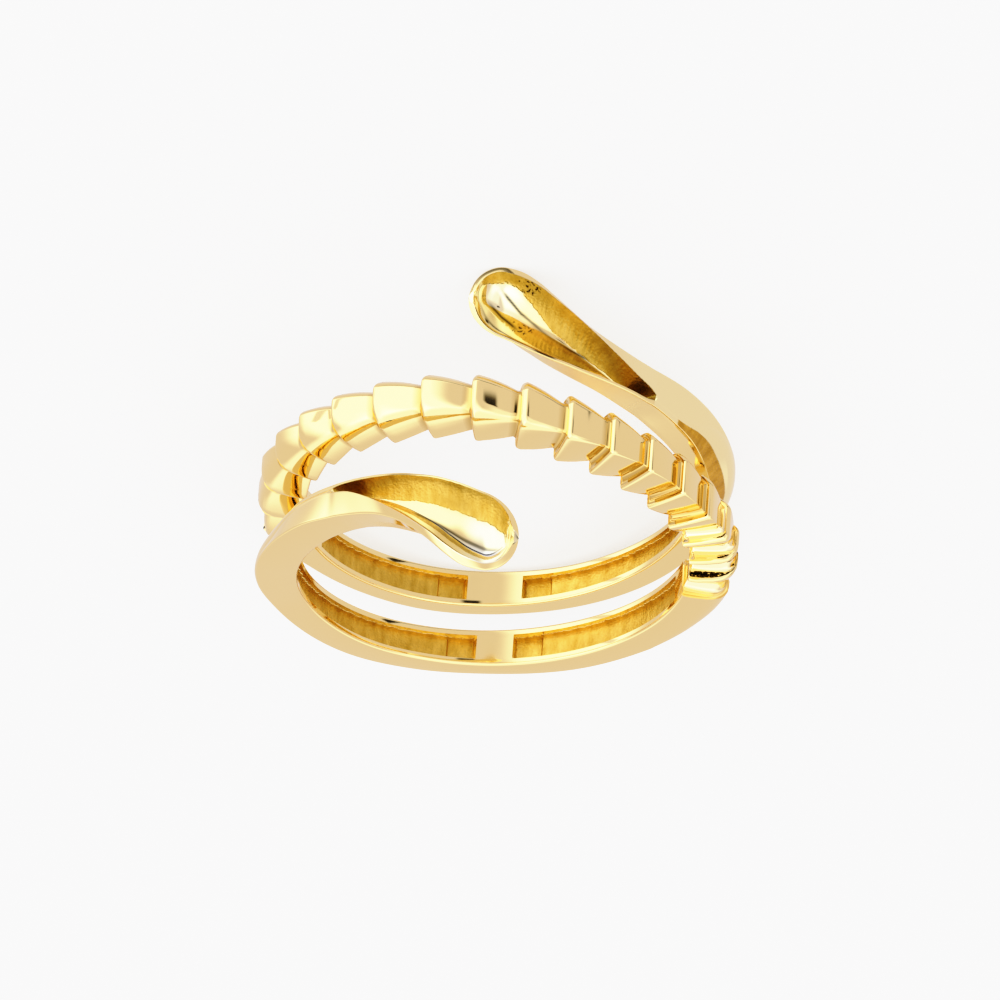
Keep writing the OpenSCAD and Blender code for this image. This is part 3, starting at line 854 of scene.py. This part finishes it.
# The studio round the ring: an even room, its slight tint, and how much more light is white. Then the
# soft boxes and flags in it, a row each with the azimuth of its middle from +Y towards +X, its
# elevation, its half width and half height, the width of its soft edge, all in degrees, and the light
# that it adds to the room's.
ROOM, ROOM_TINT, WHITE_ABOVE = 0.84, (1, 0.93, 0.95, 1), 0.4
STUDIO = {
    "overhead_box": (0, 78, 45, 45, 22, 0.55),
    "right_box": (134, 8, 36, 47, 18, 0.95),
    "left_box": (-142, 38, 26, 30, 14, 0.36),
    "dark_gap": (176, -45, 60, 3.5, 2, -0.80),
    "dark_stand": (195, -6, 5, 5, 3, -0.80),
}


def direction(azimuth, elevation):
    a, e = math.radians(azimuth), math.radians(elevation)
    return Vector((math.sin(a) * math.cos(e), math.cos(a) * math.cos(e), math.sin(e)))


def across_box(tree, way, axis, half, soft):
    """One inside a box's half extent along an axis of the sky, fading to zero over its soft edge."""
    along = node(tree, "ShaderNodeVectorMath", {0: way, 1: axis}, operation="DOT_PRODUCT").outputs["Value"]
    off = node(tree, "ShaderNodeMath", {0: along}, operation="ABSOLUTE").outputs["Value"]
    return node(tree, "ShaderNodeMapRange", {
        "Value": off,
        "From Min": math.sin(math.radians(min(half + soft / 2, 89))),
        "From Max": math.sin(math.radians(half - soft / 2)),
    }, interpolation_type="SMOOTHSTEP").outputs["Result"]


def add_world():
    world = bpy.data.worlds.new("studio")
    world.use_nodes = True
    tree = world.node_tree
    tree.nodes.clear()
    way = node(tree, "ShaderNodeTexCoord").outputs["Generated"]
    total = ROOM
    for azimuth, elevation, half_width, half_height, soft, amount in STUDIO.values():
        middle = direction(azimuth, elevation)
        side = direction(azimuth + 90, 0)
        towards = node(tree, "ShaderNodeVectorMath", {0: way, 1: middle}, operation="DOT_PRODUCT")
        facing = node(tree, "ShaderNodeMath", {0: towards.outputs["Value"], 1: 0.0}, operation="GREATER_THAN")
        part = facing.outputs["Value"]
        for axis, half in ((side, half_width), (middle.cross(side), half_height)):
            inside_box = across_box(tree, way, axis, half, soft)
            both = node(tree, "ShaderNodeMath", {0: part, 1: inside_box}, operation="MULTIPLY")
            part = both.outputs["Value"]
        total = sums(tree, part, amount, total)
    white = mapped(tree, total, (ROOM, ROOM + WHITE_ABOVE), "From")
    colour = blended(tree, white, ROOM_TINT, (1, 1, 1, 1), "RGBA")
    sky = node(tree, "ShaderNodeBackground", {"Color": colour, "Strength": total})
    node(tree, "ShaderNodeOutputWorld", {"Surface": sky.outputs["Background"]})
    bpy.context.scene.world = world


add_world()

# The picture's tone: deeper shadows and a soft shoulder, as pairs of scene light and what it is shown as
BRIGHTEST = 2.0
TONE = [(0.03, 0.012), (0.08, 0.05), (0.2, 0.18), (0.5, 0.49), (0.62, 0.61), (0.8, 0.785),
        (0.9, 0.86), (1.0, 0.915), (1.25, 0.965), (1.5, 0.985), (1.75, 0.995)]


def set_tone():
    view = bpy.context.scene.view_settings
    view.view_transform = "Standard"
    view.use_curve_mapping = True
    curves = view.curve_mapping
    curves.white_level = (BRIGHTEST, BRIGHTEST, BRIGHTEST)
    for light, shown in TONE:
        curves.curves[3].points.new(light / BRIGHTEST, shown)
    curves.update()


set_tone()
